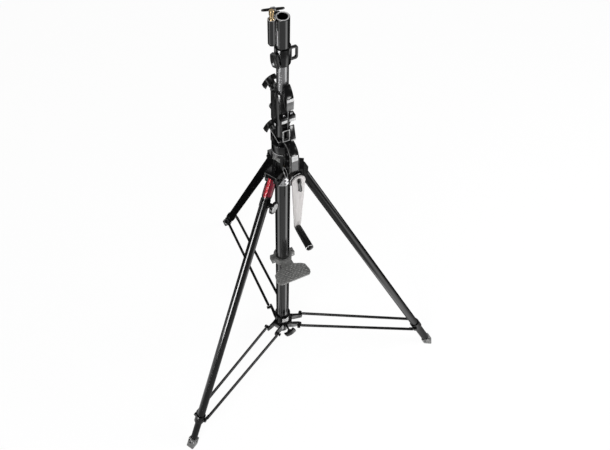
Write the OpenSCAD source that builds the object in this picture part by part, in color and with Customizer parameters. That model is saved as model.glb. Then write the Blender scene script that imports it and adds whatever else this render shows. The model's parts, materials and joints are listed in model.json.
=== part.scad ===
// Crank lighting stand: a tripod base, a geared lower riser raised by a crank, and an
// upper riser that a cable lifts at the same time. The column stands on the Z axis, the
// floor is z = 0, and the crank, the gear case and the foot step face -Y.

/* [Stand] */
// Height of the socket's rim above the floor with both risers down
stand_h = 1670; // [1640:5:1700]
// Radius of the circle that the three feet stand on
foot_circle_r = 610; // [560:5:640]
// Radius of the leg pivots from the column's axis
leg_pivot_r = 56; // [54:0.5:58]
// Height of the leg pivots
leg_pivot_z = 1075; // [1070:1:1080]

/* [Column] */
// Outside diameter of the base tube
base_tube_d = 50; // [50:0.5:51]
// Bore of the base tube
base_tube_bore = 46; // [45.8:0.1:46.2]
// Outside diameter of the geared riser
riser_1_d = 42; // [41.8:0.1:42]
// Bore of the geared riser
riser_1_bore = 39; // [38.8:0.1:39]
// Outside diameter of the upper riser
riser_2_d = 35; // [34.5:0.1:35]
// Bore of the upper riser
riser_2_bore = 31; // [29:0.5:32]
// Running clearance on the radius of the sliding bushes
slide_gap = 0.06; // [0.03:0.01:0.09]

/* [Head] */
// Bore of the top socket
socket_bore = 28.6; // [28.4:0.1:28.8]
// Outside diameter of the socket's barrel
barrel_d = 39; // [37:0.5:40]
// Diameter of the spare spigot
spigot_d = 16; // [15.8:0.1:16]
// Distance from the column's axis to the spigot's axis
spigot_x = 30.4; // [30.3:0.1:31]

/* [Legs and braces] */
// Diameter of the leg tubes
leg_d = 30; // [29:0.5:30]
// Diameter of the levelling tube inside the left leg
level_d = 25; // [24:0.5:25]
// Diameter of the brace tubes
brace_d = 11; // [10:0.5:11]
// Height of the brace pivots on the spider
spider_pivot_z = 96; // [94:1:98]
// Radius of the brace pivots on the spider
spider_pivot_r = 70; // [69:0.5:71]
// Distance down the leg from its pivot to the brace bracket's hole
bracket_run = 1063; // [1061:1:1065]
// Distance of the bracket's hole from the leg's axis
bracket_drop = 2; // [1:0.5:3]

/* [Gearing] */
// Tooth pitch of the rack
rack_pitch = 5; // [5:1:5]
// Number of teeth on the pinion
pinion_teeth = 16; // [16:1:16]
// Number of teeth on the worm wheel
wheel_teeth = 16; // [16:1:16]
// Height of the crank shaft's axis
crank_z = 1110; // [1108:1:1112]
// Distance from the crank shaft to the grip's axis
crank_r = 238; // [200:2:240]

/* [Hidden] */
$fn = 64;

black = [0.07, 0.07, 0.08];
steel = [0.75, 0.75, 0.77];
az_left = -150;
az_right = -30;
az_rear = 90;

// column
base_tube_z0 = 34;
base_tube_z1 = 1090;
riser_1_z0 = 60;
riser_1_z1 = 1412;
riser_2_z0 = 100;
collar_1_z0 = 1285;
collar_2_z0 = 1513;
collar_2_z1 = 1573;
case_top_z = 1237;
drum_z = 1168;
crown_top_z = 1205;
cheek_in = 18.1;
cheek_out = 22.5;
pin_gap = 0.1;
case_x = 1.7;
case_half_w = 13.7;
crank_x = 8.2;

// legs
spread = atan((foot_circle_r - leg_pivot_r) / leg_pivot_z);
leg_run = leg_pivot_z / cos(spread);
leg_wall = 2;
foot_len = 34;
level_out = 124;
level_knob_s = 91;
bracket_r = leg_pivot_r + bracket_run * sin(spread) - bracket_drop * cos(spread);
bracket_z = leg_pivot_z - bracket_run * cos(spread) - bracket_drop * sin(spread);
brace_len = norm([bracket_r - spider_pivot_r, bracket_z - spider_pivot_z]);
brace_rise = atan((bracket_z - spider_pivot_z) / (bracket_r - spider_pivot_r));
brace_side = 22.9;
eye_side = 19.5;
brace_side_in = 28;
spider_knob_z = 98;

// gearing
pi = 3.14159265;
tooth_out = 1.0;
tooth_in = 1.2;
pinion_r = rack_pitch * pinion_teeth / (2 * pi);
rack_w = 5;
rack_y = riser_1_d / 2 + 1.6;
pinion_y = -(rack_y - tooth_out) - pinion_r;
wheel_m = 1.25;
wheel_r = wheel_m * wheel_teeth / 2;
wheel_w = 3;
worm_r = 5;
worm_starts = 4;
worm_lead = worm_starts * wheel_m * pi;
worm_y0 = -27;
worm_l = 15;
pinion_z = crank_z + wheel_r + worm_r;
crank_y = -94.5;
shaft_d = 9;
shaft_bush_d = 12;
arm_t = 5;

// head
t_handle_z = 1652;
head_knob_z = 1540;
head_knob_az = 205;
sleeve_z0 = 1588;
upper_knob_z = 1369;
lower_knob_z = 1184;
pulley_z = 1424;
pulley_y = -27.6;
hood_x0 = -10;
hood_w = 22.8;
cable_r = 9;
cable_d = 1.6;
step_z = 566;

// ---- helpers ----

module tube(od, bore, z0, z1) {
    translate([0, 0, z0])
        difference() {
            cylinder(d = od, h = z1 - z0);
            translate([0, 0, -1]) cylinder(d = bore, h = z1 - z0 + 2);
        }
}

// a cylinder along X between two stations, at a given y and z
module rod_x(d, x0, x1, y = 0, z = 0) {
    translate([x0, y, z]) rotate([0, 90, 0]) cylinder(d = d, h = x1 - x0);
}

// a cylinder along Y between two stations, at a given x and z
module rod_y(d, y0, y1, x = 0, z = 0) {
    translate([x, y0, z]) rotate([-90, 0, 0]) cylinder(d = d, h = y1 - y0);
}

module box(x0, x1, y0, y1, z0, z1) {
    translate([x0, y0, z0]) cube([x1 - x0, y1 - y0, z1 - z0]);
}

// a plate cut from an outline in the radial plane, between two lateral stations
module radial_plate(points, y0, y1) {
    translate([0, y1, 0]) rotate([90, 0, 0]) linear_extrude(y1 - y0) polygon(points);
}

// the leg's own frame: origin on its pivot, Z down the tube, X towards the column
module on_leg(az) {
    rotate([0, 0, az]) translate([leg_pivot_r, 0, leg_pivot_z]) rotate([0, 180 - spread, 0]) children();
}

module above_floor() {
    intersection() {
        children();
        translate([-900, -900, 0]) cube([1800, 1800, 2000]);
    }
}

// a gear outline with straight-flanked teeth
module gear_2d(teeth, r_root, r_tip, root_w, tip_w) {
    union() {
        circle(r = r_root);
        for (i = [0 : teeth - 1])
            rotate(i * 360 / teeth)
                polygon([[r_root - 1, -root_w / 2], [r_tip, -tip_w / 2], [r_tip, tip_w / 2],
                         [r_root - 1, root_w / 2]]);
    }
}

// a knob with a curved cross wing: its screw runs up +Z from z = 0 and the wing bows away from it
module wing_knob(screw_d, screw_l, hub_d, hub_l, span, wing_t, wing_h, drop) {
    bow_r = span * span / (8 * drop) + drop / 2;
    cylinder(d = screw_d, h = screw_l);
    translate([0, 0, screw_l - 0.5]) cylinder(d = hub_d, h = hub_l);
    translate([0, wing_t / 2, screw_l + hub_l - 1])
        rotate([90, 0, 0])
            linear_extrude(wing_t)
                intersection() {
                    translate([0, -bow_r])
                        difference() {
                            circle(r = bow_r + wing_h / 2, $fn = 96);
                            circle(r = bow_r - wing_h / 2, $fn = 96);
                        }
                    translate([-span / 2, -drop - wing_h]) square([span, drop + 3 * wing_h]);
                }
}

// ---- base ----

module base_tube() {
    color(black) tube(base_tube_d, base_tube_bore, base_tube_z0, base_tube_z1);
}

module base_plug() {
    color("dimgray") {
        difference() {
            union() {
                translate([0, 0, 26]) cylinder(d1 = 46, d2 = 50, h = 4);
                translate([0, 0, 30]) cylinder(d = 50, h = base_tube_z0 - 30);
                translate([0, 0, 30]) cylinder(d = base_tube_bore, h = 22);
            }
            translate([0, 0, 36]) cylinder(d = 38, h = 20);
            translate([0, 0, 20]) cylinder(d = 8, h = 20);
        }
    }
}

// cheeks and flat roof of one arm that a leg pivots in
module crown_arm(az) {
    rotate([0, 0, az]) {
        for (side = [-1, 1])
            radial_plate([[20, 1052], [60, 1052], [65, 1057], [65, 1098], [20, 1098]],
                         min(side * cheek_in, side * cheek_out), max(side * cheek_in, side * cheek_out));
        radial_plate([[65, 1094], [65, 1098], [20, 1098], [20, 1094]], -cheek_out, cheek_out);
        radial_plate([[52, 1097], [36, 1140], [20, 1140], [20, 1097]], -5, 5);
    }
}

module crown_casting() {
    color(black)
        difference() {
            union() {
                translate([0, 0, 1052]) cylinder(d = 60, h = 60);
                translate([0, 0, 1092]) cylinder(d = 70, h = 44);
                translate([0, 0, 1136]) cylinder(d1 = 70, d2 = 62, h = drum_z - 1136);
                for (az = [az_left, az_right, az_rear]) crown_arm(az);
                translate([0, 0, drum_z]) cylinder(d = 68, h = crown_top_z - drum_z);
                box(-24.5, 22, -24, 34, 1180, 1225);
                rod_y(26, 20, 50, 0, lower_knob_z);
                translate([0, 50, lower_knob_z]) rotate([-90, 0, 0]) cylinder(d1 = 26, d2 = 19, h = 25);
            }
            translate([0, 0, 1040]) cylinder(d = base_tube_d, h = base_tube_z1 - 1040);
            translate([0, 0, 1080]) cylinder(d = base_tube_bore, h = 180);
            for (az = [az_left, az_right, az_rear])
                rotate([0, 0, az]) rod_y(10, -40, 40, leg_pivot_r, leg_pivot_z);
            rod_y(10.1, 18, 80, 0, lower_knob_z);
            box(case_x - case_half_w, case_x + case_half_w, -90, -32, 1092, 1240);
            box(case_x - case_half_w, case_x + case_half_w, -40, -15, 1094, 1148);
        }
}

module crown_bush() {
    color("whitesmoke")
        difference() {
            tube(base_tube_bore, riser_1_d + 2 * slide_gap, crown_top_z - 34, crown_top_z);
            box(-rack_w / 2 - 0.4, rack_w / 2 + 0.4, -30, 0, 1150, 1240);
        }
}

module crown_ring() {
    color(steel)
        difference() {
            union() {
                tube(54, base_tube_d, 1010, 1052);
                rod_x(12, 25.5, 36, 0, 1031);
            }
            rod_x(6, 20, 40, 0, 1031);
            tube(60, 52.4, 1022, 1040);
        }
}

// outline of the gear case in the YZ plane, in front of the crown
module case_2d(grow) {
    intersection() {
        union() {
            translate([-44, 1197]) circle(r = 40 + grow, $fn = 96);
            translate([-84 - grow, 1100]) square([52 + grow, 97]);
            translate([-76, 1100]) circle(r = 8 + grow, $fn = 48);
            translate([-76, 1092 - grow]) square([44, 20]);
        }
        translate([-200, 1000]) square([200 - 32, 300]);
    }
}

// one side plate of the case, with the lug that reaches back to the pinion's bearing
module case_cheek(x0) {
    case_slab(x0, x0 + 3) {
        case_2d(0);
        translate([-33, 1098]) square([6, 48]);
    }
}

module case_slab(x0, x1) {
    translate([case_x + x0, 0, 0]) rotate([90, 0, 90]) linear_extrude(x1 - x0) children();
}

// the case's two cheeks, with the blocks that carry the crank shaft between them
module gear_case() {
    color(black)
        difference() {
            union() {
                case_cheek(-case_half_w);
                case_cheek(case_half_w - 3);
                rod_x(36, case_x - case_half_w - 5, case_x - case_half_w, -56, 1118);
                box(case_x - case_half_w + 1, case_x + case_half_w - 1, -80, -68, 1100, 1124);
                box(case_x - case_half_w + 1, case_x + case_half_w - 1, -56, -46.5, 1100, 1118);
            }
            rod_y(shaft_bush_d, -90, -20, crank_x, crank_z);
            rod_x(11, case_x - 20, case_x + 20, pinion_y, pinion_z);
        }
}

// the strip that closes the case's top and front, bent from one plate
module gear_cover() {
    color(black)
        difference() {
            case_slab(-case_half_w + 3.1, case_half_w - 3.1)
                difference() {
                    case_2d(0);
                    case_2d(-2.5);
                }
            rod_y(shaft_bush_d + 1, -100, -60, crank_x, crank_z);
            box(case_x - 20, case_x + 20, -81, -20, 1080, 1126);
            box(case_x - 20, case_x + 20, -38, -20, 1080, 1210);
        }
}

// two guards on the top of the crown, a window frame and a wedge, and the cable's anchor
module front_guards() {
    color(black) {
        difference() {
            box(-19, 4, -42, -38, case_top_z, 1290);
            box(-14, -2, -50, -30, 1254, 1284);
        }
        translate([7, 0, 0])
            rotate([90, 0, 90])
                linear_extrude(16)
                    polygon([[-28, case_top_z], [-44, case_top_z], [-44, 1243], [-31, 1288], [-28, 1288]]);
        box(-19, 12, -44, -28, case_top_z, case_top_z + 4);
        box(-12, case_x + case_half_w, -32, -28, crown_top_z, case_top_z + 4);
        translate([0, pulley_y - cable_r, case_top_z + 3]) cylinder(d = 5, h = 9);
    }
}

module crank_bushes() {
    color("goldenrod") {
        for (y = [[-84, -70], [-56, -46.5]])
            difference() {
                rod_y(shaft_bush_d, y[0], y[1], crank_x, crank_z);
                rod_y(shaft_d + 2 * slide_gap, -90, -40, crank_x, crank_z);
            }
        for (side = [-1, 1])
            difference() {
                rod_x(11, case_x + side * (case_half_w - 1.5) - 1.5, case_x + side * (case_half_w - 1.5) + 1.5,
                      pinion_y, pinion_z);
                rod_x(8 + 2 * pin_gap, case_x - 20, case_x + 20, pinion_y, pinion_z);
            }
    }
}

module leg_pins() {
    color(steel)
        for (az = [az_left, az_right, az_rear])
            rotate([0, 0, az]) {
                rod_y(10, -cheek_out, cheek_out, leg_pivot_r, leg_pivot_z);
                rod_y(16, cheek_out, cheek_out + 4.5, leg_pivot_r, leg_pivot_z);
                rod_y(16, -cheek_out - 4.5, -cheek_out, leg_pivot_r, leg_pivot_z);
            }
}

module base_screws() {
    color(steel) {
        rod_x(6, 29, 33, 0, 1031);
        rod_x(10, 36, 41, 0, 1031);
        rod_x(6, 33, 36, 0, 1031);
        for (side = [-1, 1]) {
            rod_y(6, -10, 14, side * 36.5, step_z);
            rod_y(10, 14, 19, side * 36.5, step_z);
            for (z = [1146, 1178, 1208])
                rod_x(7, case_x + side * (case_half_w + 1) - 1, case_x + side * (case_half_w + 1) + 1, -62, z);
        }
    }
}

module step_plate() {
    color("gray")
        difference() {
            union() {
                translate([0, 0, step_z - 6])
                    linear_extrude(5)
                        difference() {
                            polygon([[-22, -16], [-24, -45], [-48, -55], [-60, -64], [-66, -92], [-63, -104],
                                     [-55, -111], [55, -111], [63, -104], [66, -92], [60, -64], [48, -55],
                                     [24, -45], [22, -16]]);
                            circle(d = base_tube_d);
                        }
                difference() {
                    tube(66, base_tube_d, step_z - 14, step_z + 14);
                    box(-60, 60, -1, 60, step_z - 20, step_z + 20);
                }
                for (side = [-1, 1]) {
                    box(side * 36.5 - 8, side * 36.5 + 8, -9, -1, step_z - 12, step_z + 12);
                    step_rib(side);
                }
            }
            for (side = [-1, 1]) rod_y(6, -20, 10, side * 36.5, step_z);
            translate([0, 0, step_z - 20]) cylinder(d = base_tube_d, h = 40);
        }
}

// rib under the tread
module step_rib(side) {
    translate([side * 16 - 2, 0, 0])
        rotate([90, 0, 90])
            linear_extrude(4)
                polygon([[-26, step_z - 14], [-26, step_z - 5], [-100, step_z - 5], [-100, step_z - 8]]);
}

module step_clamp() {
    color("gray")
        difference() {
            union() {
                difference() {
                    tube(66, base_tube_d, step_z - 14, step_z + 14);
                    box(-60, 60, -60, 1, step_z - 20, step_z + 20);
                }
                for (side = [-1, 1])
                    box(side * 36.5 - 8, side * 36.5 + 8, 1, 14, step_z - 12, step_z + 12);
            }
            for (side = [-1, 1]) rod_y(6, -20, 20, side * 36.5, step_z);
            translate([0, 0, step_z - 20]) cylinder(d = base_tube_d, h = 40);
        }
}

module lower_knob() {
    color(black)
        translate([0, 27, lower_knob_z])
            rotate([-90, 0, 0]) rotate([0, 0, -35]) wing_knob(10, 52, 22, 13, 50, 14, 10, 8);
}

// ---- crank and gears ----

module worm_shaft() {
    color(steel)
        translate([crank_x, 0, crank_z])
            rotate([90, 0, 0]) {
                translate([0, 0, worm_l - worm_y0 - 0.1])
                    cylinder(d = shaft_d, h = worm_y0 - crank_y - worm_l + arm_t + 0.1);
                translate([0, 0, -worm_y0])
                    rotate(360 * (-pinion_y + worm_y0) / worm_lead)
                        linear_extrude(height = worm_l, twist = 360 * worm_l / worm_lead, slices = 24, $fn = 24)
                            gear_2d(worm_starts, worm_r - 1, worm_r + 0.6, 2.2, 1.2);
            }
}

// the crank's flat arm, wide at the shaft and narrow at the grip
module crank_arm() {
    color("gainsboro")
        difference() {
            translate([crank_x, crank_y, crank_z])
                rotate([90, 0, 0])
                    linear_extrude(arm_t)
                        difference() {
                            union() {
                                circle(r = 22);
                                polygon([[-21.9, -3], [-11, -crank_r], [11, -crank_r], [21.9, -3]]);
                                translate([0, -crank_r]) circle(r = 11);
                            }
                            circle(d = shaft_d);
                            translate([0, -crank_r]) circle(d = 8);
                        }
            box(crank_x - 1, crank_x + 6, crank_y - 20, crank_y + 5, crank_z - 46, crank_z - 24);
        }
}

// spacer and screw on the shaft, the folding latch and the grip's pin
module crank_fittings() {
    color(steel) {
        difference() {
            rod_y(20, crank_y, crank_y + 5.5, crank_x, crank_z);
            rod_y(shaft_d, crank_y - 5, crank_y + 20, crank_x, crank_z);
        }
        translate([crank_x, crank_y - arm_t, crank_z])
            rotate([90, 0, 0])
                linear_extrude(3)
                    polygon([[-6, 12], [-2, 15], [5, 13], [11, -49], [8, -52], [2, -50]]);
        rod_y(12, crank_y - arm_t - 6, crank_y - arm_t - 3, crank_x, crank_z);
        box(crank_x - 1, crank_x + 6, crank_y - arm_t - 1, crank_y, crank_z - 46, crank_z - 24);
        rod_y(8, crank_y - arm_t - 94, crank_y + 2, crank_x, crank_z - crank_r);
        rod_y(16, crank_y, crank_y + 3, crank_x, crank_z - crank_r);
        rod_y(14, crank_y - arm_t - 96, crank_y - arm_t - 94, crank_x, crank_z - crank_r);
    }
}

module crank_grip() {
    color([0.1, 0.1, 0.1])
        translate([crank_x, crank_y - arm_t, crank_z - crank_r])
            rotate([90, 0, 0])
                rotate_extrude()
                    polygon([[4 + slide_gap, 0.5], [10, 0.5], [11, 3], [11.5, 45], [11.5, 88],
                             [10, 93], [9, 93.9], [4 + slide_gap, 93.9]]);
}

module pinion_gear() {
    color(steel)
        translate([-rack_w / 2, pinion_y, pinion_z])
            rotate([90, 0, 90])
                linear_extrude(rack_w)
                    rotate(90)
                        gear_2d(pinion_teeth, pinion_r - tooth_in, pinion_r + tooth_out, 2.6, 1.3);
}

// the worm wheel and the shaft that it shares with the pinion
module worm_wheel() {
    color("goldenrod") {
        translate([crank_x - wheel_w / 2, pinion_y, pinion_z])
            rotate([90, 0, 90])
                linear_extrude(wheel_w)
                    rotate(90 + 180 / wheel_teeth)
                        gear_2d(wheel_teeth, wheel_r - 1.3, wheel_r + 0.6, 1.7, 0.8);
        rod_x(8, case_x - case_half_w + 0.2, -rack_w / 2, pinion_y, pinion_z);
        rod_x(8, rack_w / 2, case_x + case_half_w - 0.2, pinion_y, pinion_z);
    }
}

// ---- spider and braces ----

module spider_arm(az) {
    rotate([0, 0, az])
        difference() {
            union() {
                for (side = [-1, 1])
                    radial_plate([[20, 62], [44, 64], [78, 84], [80, 96], [78, 104], [66, 107],
                                  [40, 101], [20, 101]], side * 18.6 - 3, side * 18.6 + 3);
                radial_plate([[24, 64], [38, 66], [38, 94], [24, 96]], -20, 20);
            }
            rod_y(8, -40, 40, spider_pivot_r, spider_pivot_z);
        }
}

module spider_hub() {
    color(black)
        difference() {
            union() {
                translate([0, 0, 60]) cylinder(d = 62, h = 86);
                for (az = [az_left, az_right, az_rear]) spider_arm(az);
                rod_y(24, -42, -26, 0, spider_knob_z);
            }
            translate([0, 0, 40]) cylinder(d = base_tube_d + 2 * slide_gap, h = 120);
            rod_y(8.1, -60, -20, 0, spider_knob_z);
        }
}

module spider_pins() {
    color(steel)
        for (az = [az_left, az_right, az_rear])
            rotate([0, 0, az]) {
                for (side = [-1, 1]) {
                    rod_y(8, side * (brace_side_in - 2) - 10, side * (brace_side_in - 2) + 10,
                          spider_pivot_r, spider_pivot_z);
                    rod_y(13, side * (brace_side_in + 7.5) - 2, side * (brace_side_in + 7.5) + 2,
                          spider_pivot_r, spider_pivot_z);
                }
            }
}

module spider_knob() {
    color(black)
        translate([0, -25.2, spider_knob_z])
            rotate([90, 0, 0]) rotate([0, 0, 25]) wing_knob(8, 40, 20, 12, 44, 26, 10, 4);
}

// one brace tube with a flat eye at each end, its far eye carrying half of the open pivot's bolt
module brace(side) {
    near = [spider_pivot_r, side * brace_side_in, spider_pivot_z];
    far = [bracket_r, side * brace_side, bracket_z];
    run = far - near;
    yaw = atan2(run[1], run[0]);
    rise = asin(run[2] / norm(run));
    difference() {
        union() {
            translate(near)
                rotate([0, 90 - rise, yaw])
                    translate([0, 0, 10]) cylinder(d = brace_d, h = norm(run) - 20);
            rod_y(15, near[1] - 2, near[1] + 2, near[0], near[2]);
            rod_y(15, side * eye_side - 2, side * eye_side + 2, far[0], far[2]);
            translate(near) rotate([0, 90 - rise, yaw])
                translate([-6, -1.9, 0]) cube([12, 3.8, 22]);
            translate([far[0], side * (eye_side + 1.5), far[2]]) rotate([0, 90 - rise, yaw])
                translate([-6, -3.3, -24]) cube([12, 6.6, 24]);
            rod_y(8, side * (eye_side + 3) - 3, side * (eye_side + 3) + 3, far[0], far[2]);
            rod_y(13, side * (eye_side + 5) - 2, side * (eye_side + 5) + 2, far[0], far[2]);
        }
        rod_y(8 + 2 * slide_gap, near[1] - 5, near[1] + 5, near[0], near[2]);
    }
}

module braces(az) {
    color(black) rotate([0, 0, az]) for (side = [-1, 1]) brace(side);
}
module braces_left() { braces(az_left); }
module braces_right() { braces(az_right); }
module braces_rear() { braces(az_rear); }

// ---- legs ----

module leg_tube(az, z0, z1, bore) {
    color(black) on_leg(az) tube(leg_d, bore, z0, z1);
}

// casting in the top of a leg, with the pivot's hole
module leg_head(az) {
    color(black)
        on_leg(az)
            difference() {
                union() {
                    rod_y(32, -18, 18);
                    translate([-16, -18, 0]) cube([32, 36, 22]);
                    translate([0, 0, 20]) cylinder(d = leg_d - 2 * leg_wall, h = 22);
                }
                rod_y(10 + 2 * slide_gap, -30, 30);
            }
}

// saddle clamped round a leg, with the two flat sides that the braces bolt to
module leg_bracket(az, bore) {
    color(black)
        on_leg(az)
            difference() {
                translate([0, 0, bracket_run - 16])
                    intersection() {
                        cylinder(d = 38, h = 32);
                        translate([-20, -17.2, -1]) cube([40, 34.4, 40]);
                    }
                translate([0, 0, bracket_run - 20]) cylinder(d = bore, h = 40);
                rod_y(8.4, -30, -15, bracket_drop, bracket_run);
                rod_y(8.4, 15, 30, bracket_drop, bracket_run);
            }
}

// aluminium shoe on the end of a leg, cut level at the floor
module shoe(az, z0, plug_d) {
    color("silver")
        above_floor()
            on_leg(az)
                difference() {
                    union() {
                        translate([0, 0, z0 - 26]) cylinder(d = plug_d, h = 27);
                        translate([-14.5, -15.5, z0])
                            linear_extrude(90)
                                translate([4, 4])
                                    offset(r = 4) square([21, 23]);
                    }
                    rod_y(7, -25, -12, 2, z0 + 11);
                    rod_y(7, 12, 25, 2, z0 + 11);
                }
}

module leg_left_tube() { leg_tube(az_left, 22, leg_run - level_out, leg_d - 2 * leg_wall); }
module leg_left_head() { leg_head(az_left); }
module leg_left_bracket() { leg_bracket(az_left, leg_d); }

module leg_left_sleeve() {
    color("crimson")
        on_leg(az_left) tube(leg_d + 3, leg_d, 22, 60);
}

// clamp and guide for the levelling tube, with the boss that its knob screws into
module level_bush() {
    color(black)
        on_leg(az_left) {
            difference() {
                union() {
                    tube(leg_d + 3, leg_d, level_knob_s - 13, level_knob_s + 13);
                    rod_y(18, 15, 26, 0, level_knob_s);
                }
                rod_y(8.1, 0, 40, 0, level_knob_s);
                translate([0, 0, level_knob_s - 20]) cylinder(d = leg_d, h = 40);
            }
            tube(leg_d - 2 * leg_wall, level_d + 2 * slide_gap, leg_run - level_out - 60,
                 leg_run - level_out);
        }
}

module level_tube() {
    color(steel)
        on_leg(az_left) tube(level_d, level_d - 4, 62, leg_run - foot_len - 3);
}

module level_foot() { shoe(az_left, leg_run - foot_len - 3, level_d - 4); }

// a round knob on a screw
module level_knob() {
    color(black)
        on_leg(az_left)
            translate([0, 15.1, level_knob_s])
                rotate([-90, 0, 0])
                    rotate_extrude()
                        polygon([[0, 0], [4, 0], [4, 11.2], [9, 11.2], [10, 15.4], [20.5, 15.4],
                                 [21.5, 16.4], [21.5, 22.4], [20, 24.4], [17, 24.4], [16, 23.6], [0, 23.6]]);
}

module leg_right_tube() { leg_tube(az_right, 22, leg_run - foot_len, leg_d - 2 * leg_wall); }
module leg_right_head() { leg_head(az_right); }
module leg_right_bracket() { leg_bracket(az_right, leg_d); }
module leg_right_foot() { shoe(az_right, leg_run - foot_len, leg_d - 2 * leg_wall); }
module leg_rear_tube() { leg_tube(az_rear, 22, leg_run - foot_len, leg_d - 2 * leg_wall); }
module leg_rear_head() { leg_head(az_rear); }
module leg_rear_bracket() { leg_bracket(az_rear, leg_d); }
module leg_rear_foot() { shoe(az_rear, leg_run - foot_len, leg_d - 2 * leg_wall); }

// ---- geared riser ----

rack_z0 = 120;
rack_teeth = 214;
rack_root = rack_y - tooth_out - tooth_in;

module riser_1_tube() {
    color(black)
        difference() {
            tube(riser_1_d, riser_1_bore, riser_1_z0, riser_1_z1);
            box(-rack_w / 2, rack_w / 2, -30, 0, rack_z0, rack_z0 + rack_teeth * rack_pitch);
        }
}

// the rack is let into a slot in the tube's front wall
module riser_1_rack() {
    phase = (pinion_z - rack_z0) % rack_pitch - rack_pitch / 2;
    color(steel)
        translate([-rack_w / 2, 0, 0])
            rotate([90, 0, 90])
                linear_extrude(rack_w)
                    union() {
                        translate([-rack_root, rack_z0])
                            square([rack_root - riser_1_bore / 2, rack_teeth * rack_pitch]);
                        for (i = [1 : rack_teeth - 1])
                            translate([0, rack_z0 + i * rack_pitch + phase])
                                polygon([[-rack_root + 0.1, -1.5], [-rack_root + 0.1, 1.5],
                                         [-rack_y, 0.65], [-rack_y, -0.65]]);
                    }
}

module riser_1_foot() {
    color("whitesmoke") {
        tube(base_tube_bore - 2 * slide_gap, riser_1_d, 66, 96);
        tube(base_tube_bore - 2 * slide_gap, 36, riser_1_z0 - 4, riser_1_z0);
    }
}

// ear of the split clamp on the collar
module collar_ear(x0, x1) {
    box(x0, x1, -34, -18, 1320, 1336);
    box(x0, x1, -37, -34, 1314, 1336);
}

module riser_1_collar() {
    color(black)
        difference() {
            union() {
                tube(48, riser_1_d, collar_1_z0, riser_1_z1);
                collar_ear(-20, 2.6);
                collar_ear(4.6, 24);
                rod_y(27, 18, 56, 0, upper_knob_z);
                box(-5, 5, 20, 44, collar_1_z0 + 8, upper_knob_z);
                box(-31, -20, 3, 13, 1300, riser_1_z1);
                rod_y(26, 3, 13, -23.5, 1351);
            }
            translate([0, 0, 1200]) cylinder(d = riser_1_d, h = 250);
            rod_y(10.1, 10, 60, 0, upper_knob_z);
            box(2.6, 4.6, -60, -10, 1300, 1340);
            box(-1.8, 1.8, -50, -33.5, 1300, 1340);
        }
}

module riser_1_bush() {
    color("whitesmoke")
        difference() {
            union() {
                tube(riser_1_bore, riser_2_d + 2 * slide_gap, 1372, riser_1_z1);
                tube(46, riser_2_d + 2 * slide_gap, riser_1_z1, riser_1_z1 + 3);
            }
            box(-1.5, 1.5, -30, -10, 1360, 1420);
        }
}

// hood over the cable's pulley, open at the back where the riser passes
module pulley_hood() {
    color(black)
        difference() {
            translate([hood_x0, 0, 0])
                rotate([90, 0, 90])
                    linear_extrude(hood_w)
                        polygon([[-20, 1360], [-47, 1372], [-48, 1408], [-45, 1420], [-38, 1432],
                                 [-30, 1441], [-22, 1446], [-18, 1446], [-18, 1360]]);
            translate([hood_x0 + 2.5, 0, 0])
                rotate([90, 0, 90])
                    linear_extrude(hood_w - 5)
                        polygon([[-10, 1350], [-45.6, 1350], [-45.8, 1408], [-42.9, 1419.3],
                                 [-36.3, 1430.6], [-29, 1438.8], [-21.5, 1443.6], [-10, 1443.6]]);
            translate([0, 0, 1300]) cylinder(d = 48, h = riser_1_z1 + 3 - 1300);
            translate([0, 0, 1350]) cylinder(d = 38, h = 200);
            rod_x(6, -30, 40, pulley_y, pulley_z);
        }
}

module pulley() {
    color("goldenrod")
        translate([-2.4, pulley_y, pulley_z])
            rotate([0, 90, 0])
                rotate_extrude()
                    polygon([[3 + slide_gap, 0], [cable_r + 0.3, 0], [cable_r + 0.3, 1.2], [cable_r - 0.9, 1.8],
                             [cable_r - 0.9, 3], [cable_r + 0.3, 3.6], [cable_r + 0.3, 4.8],
                             [3 + slide_gap, 4.8]]);
}

// the pulley's pin, the hood's screws and the clamp's bolts
module collar_bolts() {
    color(steel) {
        rod_x(6, hood_x0, hood_x0 + hood_w, pulley_y, pulley_z);
        rod_x(10, hood_x0 - 2, hood_x0, pulley_y, pulley_z);
        rod_x(10, hood_x0 + hood_w, hood_x0 + hood_w + 2, pulley_y, pulley_z);
        for (x = [-9, 14]) translate([x, -28, 1336]) cylinder(d = 8, h = 4);
    }
}

module upper_knob() {
    color(black)
        translate([0, 21.2, upper_knob_z])
            rotate([-90, 0, 0]) rotate([0, 0, -35]) wing_knob(10, 48, 24, 24, 50, 14, 10, 8);
}

// steel cable from the crown's anchor up to the pulley and over it
module cable_outer() {
    color("silver") {
        translate([0, pulley_y - cable_r, case_top_z + 12])
            cylinder(d = cable_d, h = pulley_z - case_top_z - 12);
        translate([0, pulley_y, pulley_z])
            rotate([90, 0, 90])
                rotate_extrude(angle = 180)
                    translate([cable_r, 0]) circle(d = cable_d, $fn = 24);
    }
}

// the same cable's run from the pulley down to the upper riser's foot, between the two tubes
module cable_inner() {
    color("silver")
        translate([0, pulley_y + cable_r, riser_2_z0 + 20])
            cylinder(d = cable_d, h = pulley_z - riser_2_z0 - 20);
}

// ---- upper riser and head ----

module riser_2_tube() {
    color(black) tube(riser_2_d, riser_2_bore, riser_2_z0, collar_2_z1);
}

module riser_2_foot() {
    color("whitesmoke")
        difference() {
            tube(riser_1_bore - 2 * slide_gap, riser_2_d, riser_2_z0, riser_2_z0 + 30);
            box(-1.5, 1.5, -30, -10, riser_2_z0 + 20, riser_2_z0 + 31);
        }
}

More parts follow.
